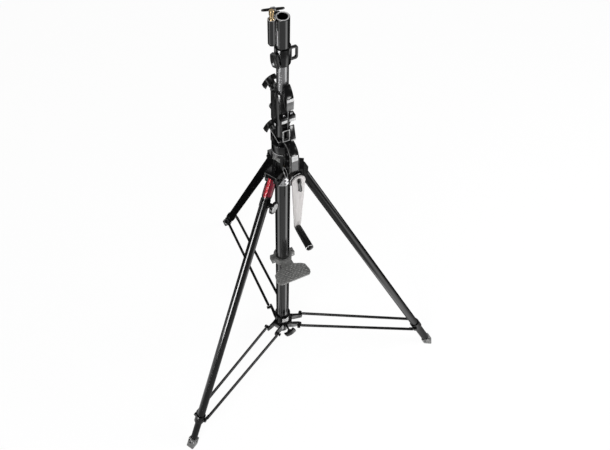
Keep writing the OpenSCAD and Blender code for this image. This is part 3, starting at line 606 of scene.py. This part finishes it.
def shoe_holes(name, leg, body, s):
    """Dark discs that paint the shade inside a shoe's holes: one on each side and two in front, s
    down the leg.
    """
    m = leg_matrix(leg)

    def disc(bm, radius, origin, direction):
        add_lathe(bm, [(0, 0), (radius, 0), (radius, 0.0006), (0, 0.0006)],
                  m @ along(origin, direction), 24)

    def build(bm):
        disc(bm, 0.0036, (0.002, -0.0152, s), (0, -1, 0))
        disc(bm, 0.0036, (0.002, 0.0152, s), (0, 1, 0))
        disc(bm, 0.0037, (-0.0142, -0.0085, s - 0.003), (-1, 0, 0))
        disc(bm, 0.0037, (-0.0142, -0.0030, s + 0.008), (-1, 0, 0))

    piece(name, "hole", body, build)


shoe_holes("shoe_left_holes", "leg_left", "level_leg", LEG_RUN - 0.026)
shoe_holes("shoe_right_holes", "leg_right", "leg_right", LEG_RUN - 0.023)
shoe_holes("shoe_rear_holes", "leg_rear", "leg_rear", LEG_RUN - 0.023)

turned("level_knob_face", "bright", "level_knob",
       [(0, 0.0236), (0.0158, 0.0236), (0.0163, 0.0240), (0.0158, 0.0245), (0, 0.0247)],
       leg_l @ along((0, 0.0151, 0.091), (0, 1, 0)))

# moulded grip of the crank and the light rim at its inner end
GRIP_X, GRIP_Z = 0.0082, 0.872
grip_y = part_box("crank_grip")[0].y
moulded = turned("grip_moulded", "rubber", "grip",
                 [(0.0047, 0.0), (0.0098, 0.0), (0.0118, 0.0012), (0.0126, 0.0040),
                  (0.0122, 0.0300), (0.0118, 0.0600), (0.0112, 0.0905), (0.0102, 0.0930),
                  (0.0047, 0.0930), (0.0047, 0.0)],
                 along((GRIP_X, grip_y, GRIP_Z), (0, 1, 0)), 40)
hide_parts("crank_grip")
turned("grip_rim", "bright", "grip",
       [(0.0112, 0), (0.0126, 0.0006), (0.0130, 0.0014), (0.0128, 0.0024), (0.0115, 0.0030),
        (0.0112, 0)],
       along((GRIP_X, grip_y + 0.0022, GRIP_Z), (0, 1, 0)))

# hub and stud of the T handle behind the head
HANDLE_Z = 1.652
handle_turn = math.radians(-15.7)
turned("handle_hub", "chrome", "t_handle",
       [(0, -0.0068), (0.0050, -0.0068), (0.0066, -0.0056), (0.0069, 0), (0.0066, 0.0056),
        (0.0050, 0.0068), (0, 0.0068)],
       along((-0.002, 0.0545, HANDLE_Z), (math.cos(handle_turn), math.sin(handle_turn), 0)))
turned("handle_stud", "chrome", "t_handle",
       [(0.0035, 0.0200), (0.0044, 0.0205), (0.0044, 0.0488), (0.0038, 0.0494),
        (0.0035, 0.0494), (0.0035, 0.0200)],
       along((0, 0, HANDLE_Z), (0, 1, 0)), 32)

# a painted highlight streak beside the spigot's sleeve, scuffed paint above it, and the bolt of
# the knob below it
BARREL_R = 0.0194


def barrel_highlight(bm):
    ring_patch(bm, BARREL_R, -166, -151, 1.584, 1.634, 0.0004)
    ring_patch(bm, BARREL_R, -178, -160, 1.634, 1.642, 0.0004)


piece("barrel_highlight", "bright", "riser_2", barrel_highlight)
piece("barrel_worn_top", "scuffed", "riser_2",
      lambda bm: ring_patch(bm, BARREL_R, -184, -158, 1.642, 1.664, 0.0004))
knob_turn = math.radians(205)
knob_out = Vector((math.cos(knob_turn), math.sin(knob_turn), 0))
turned("head_knob_bolt", "chrome", "head_knob",
       [(0.0016, 0.0), (0.0046, 0.0), (0.0046, 0.0016), (0.0038, 0.0024), (0.0016, 0.0024),
        (0.0016, 0.0)],
       along(knob_out * 0.0372 + Vector((0, 0, 1.5335)), knob_out), 28)


# ---- lifting cable, in a run outside the column and a run inside it ----

PULLEY_Y, PULLEY_Z, PULLEY_R = -0.0276, 1.424, 0.009    # R to the middle of the cable
CABLE_R = 0.0008


def cable_run(name, node, y, z0, steps, bend=()):
    """A straight run up to riser 1's pulley, left on no body."""
    rise = PULLEY_Z - z0
    bm = bmesh.new()
    add_pipe(bm, [(0, y, z0 + rise * i / steps) for i in range(steps + 1)] + list(bend), CABLE_R)
    o = finish_mesh(name, bm, "steel", None, 60.0)
    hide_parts(node)
    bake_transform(o)


over_pulley = [(0, PULLEY_Y - PULLEY_R * math.cos(t), PULLEY_Z + PULLEY_R * math.sin(t))
               for t in (i * math.pi / 16 for i in range(1, 17))]
cable_run("cable_outside", "cable_outer", PULLEY_Y - PULLEY_R, 1.249, 60, over_pulley)
cable_run("cable_inside", "cable_inner", PULLEY_Y + PULLEY_R, 0.120, 240)


# ---- floor ----

FLOOR_HALF, FLOOR_STEPS = 14.0, 8
CARD_POWER = 1.9
CARDS = [(-180, 0.004), (-100, 0.004), (-82, 0.22), (-66, 0.62), (-52, 0.45), (-42, 0.18),
         (-12, 0.20), (12, 0.20), (40, 0.20), (52, 0.78), (66, 0.92), (80, 0.30), (98, 0.004),
         (180, 0.004)]
FAR_FROM = 2.3
FAR_CARDS = [(-180, 0.10), (-168, 0.75), (-152, 0.75), (-140, 0.08), (-124, 0.08),
             (-114, 0.80), (-100, 0.80), (-90, 0.03), (-60, 0.06), (-12, 0.10), (24, 0.10),
             (60, 0.10), (86, 0.03), (98, 0.80), (112, 0.80), (124, 0.08), (142, 0.08),
             (154, 0.75), (170, 0.75), (180, 0.10)]
STREAK_FROM, STREAK_AT, STREAK_HALF, STREAK_POWER = 2.7, -41.5, 9.0, 24.0


def floor_cards(tree):
    """What a mirror sees in the floor: a ring of light cards round the stand.

    A card is (degrees, brightness), counted from the camera's side; one ring is close to the
    stand and one further out. Beyond them a narrow bright card on the left draws the long
    streak on the left leg.
    """
    coord = add_node(tree, "TexCoord")
    turned_by = add_node(tree, "Mapping", {"Rotation": (0, 0, math.radians(115))},
                         {"Vector": coord.outputs["Object"]}, vector_type="POINT")
    split = add_node(tree, "SeparateXYZ", links={"Vector": turned_by.outputs["Vector"]})
    angle = add_node(tree, "Math", links={0: split.outputs["Y"], 1: split.outputs["X"]},
                     operation="ARCTAN2")
    span = add_node(tree, "MapRange", {"From Min": -math.pi, "From Max": math.pi},
                    {"Value": angle.outputs[0]})
    reach = add_node(tree, "VectorMath", links={0: coord.outputs["Object"]}, operation="LENGTH")

    def ring_of(cards):
        ramp = add_node(tree, "ValToRGB", links={"Fac": span.outputs["Result"]})
        stops = ramp.color_ramp.elements
        while len(stops) < len(cards):
            stops.new(0.5)
        for stop, (degrees, value) in zip(stops, cards):
            stop.position = (degrees + 180) / 360
            stop.color = (value, value, value, 1)
        return add_node(tree, "Emission", {"Strength": CARD_POWER},
                        {"Color": ramp.outputs["Color"]}).outputs[0]

    def further_than(distance):
        return add_node(tree, "Math", {1: distance}, {0: reach.outputs["Value"]},
                        operation="GREATER_THAN").outputs[0]

    rings = add_node(tree, "MixShader", links={"Fac": further_than(FAR_FROM),
                                               1: ring_of(CARDS), 2: ring_of(FAR_CARDS)})
    within = add_node(tree, "Math", {1: math.radians(STREAK_AT), 2: math.radians(STREAK_HALF)},
                      {0: angle.outputs[0]}, operation="COMPARE")
    both = add_node(tree, "Math", links={0: within.outputs[0], 1: further_than(STREAK_FROM)},
                    operation="MULTIPLY")
    power = add_node(tree, "Math", {1: STREAK_POWER}, {0: both.outputs[0]},
                     operation="MULTIPLY")
    streak = add_node(tree, "Emission", links={"Strength": power.outputs[0]})
    return add_node(tree, "AddShader", links={0: rings.outputs[0],
                                              1: streak.outputs[0]}).outputs[0]


def lifted_white(tree, colour, glow):
    """A diffuse shade of grey with a white glow added to it."""
    diffuse = add_node(tree, "BsdfDiffuse", {"Color": (colour, colour, colour, 1)})
    emission = add_node(tree, "Emission", {"Color": (1, 1, 1, 1), "Strength": glow})
    return add_node(tree, "AddShader", links={0: diffuse.outputs[0],
                                              1: emission.outputs[0]}).outputs[0]


def build_floor():
    """Plain white to the camera, white to diffuse light, and cards to mirror reflections."""
    bm = bmesh.new()
    line = [FLOOR_HALF * (2 * i / FLOOR_STEPS - 1) for i in range(FLOOR_STEPS + 1)]
    grid = [[bm.verts.new((x, y, -0.001)) for y in line] for x in line]
    for a, b in zip(grid, grid[1:]):
        for j in range(FLOOR_STEPS):
            bm.faces.new([a[j], b[j], b[j + 1], a[j + 1]])
    mesh = bpy.data.meshes.new("floor")
    bm.to_mesh(mesh)
    bm.free()
    floor = bpy.data.objects.new("floor", mesh)
    bpy.context.scene.collection.objects.link(floor)
    m, tree = new_material("floor_white")
    path = add_node(tree, "LightPath")
    lit = add_node(tree, "MixShader", links={"Fac": path.outputs["Is Glossy Ray"],
                                             1: lifted_white(tree, 0.9, 0.255),
                                             2: floor_cards(tree)})
    seen = add_node(tree, "MixShader", links={"Fac": path.outputs["Is Camera Ray"],
                                              1: lit.outputs[0],
                                              2: lifted_white(tree, 0.12, 0.94)})
    add_node(tree, "OutputMaterial", links={"Surface": seen.outputs[0]})
    mesh.materials.append(m)


# ---- camera and light ----

PICTURE_W, FOCAL, CENTRE_X = 610, 795.8, 282.55    # pixels
SENSOR = 36.0                                      # mm
CAMERA_AT, CAMERA_TILT, CAMERA_PAN = (-0.6715, -1.4401, 3.0018), 90 - 54.67, -25
COLUMN_MIDDLE = (0, 0, 1.0)


def area(name, location, target, size, power):
    """A rectangular lamp that faces a target."""
    data = bpy.data.lights.new(name, "AREA")
    data.shape = "RECTANGLE"
    data.size, data.size_y = size
    data.energy = power
    o = bpy.data.objects.new(name, data)
    o.location = location
    o.rotation_mode = "QUATERNION"
    o.rotation_quaternion = (Vector(location) - Vector(target)).to_track_quat("Z", "Y")
    bpy.context.scene.collection.objects.link(o)


def build_camera():
    data = bpy.data.cameras.new("camera")
    data.sensor_width = SENSOR
    data.lens = FOCAL / PICTURE_W * SENSOR
    data.shift_x = (PICTURE_W / 2 - CENTRE_X) / PICTURE_W
    data.clip_end = 60
    camera = bpy.data.objects.new("camera", data)
    camera.location = CAMERA_AT
    camera.rotation_euler = (math.radians(CAMERA_TILT), 0, math.radians(CAMERA_PAN))
    bpy.context.scene.collection.objects.link(camera)
    bpy.context.scene.camera = camera


def build_light():
    """Soft lamps and a dim sky; to the camera the backdrop is as white as the floor."""
    world = bpy.data.worlds.new("world")
    bpy.context.scene.world = world
    world.use_nodes = True
    tree = world.node_tree
    sky = tree.nodes["Background"]
    sky.inputs["Color"].default_value = (0.5, 0.5, 0.51, 1)
    sky.inputs["Strength"].default_value = 0.15
    backdrop = add_node(tree, "Background", {"Color": (1, 1, 1, 1)})
    path = add_node(tree, "LightPath")
    mix = add_node(tree, "MixShader", links={"Fac": path.outputs["Is Camera Ray"],
                                             1: sky.outputs[0], 2: backdrop.outputs[0]})
    tree.links.new(mix.outputs[0], tree.nodes["World Output"].inputs["Surface"])
    area("key", (-2.2, -1.8, 3.6), COLUMN_MIDDLE, (1.6, 1.6), 48)
    area("fill", (2.6, -1.2, 2.6), COLUMN_MIDDLE, (1.4, 2.2), 36)
    area("back", (0.6, 2.8, 3.2), COLUMN_MIDDLE, (2.4, 1.2), 12)
    area("strip", (0.9, -3.6, 1.1), (0, 0, 1.2), (1.2, 0.5), 30)
    bpy.context.scene.view_settings.view_transform = "Standard"
    bpy.context.scene.view_settings.look = "None"


build_floor()
build_camera()
build_light()
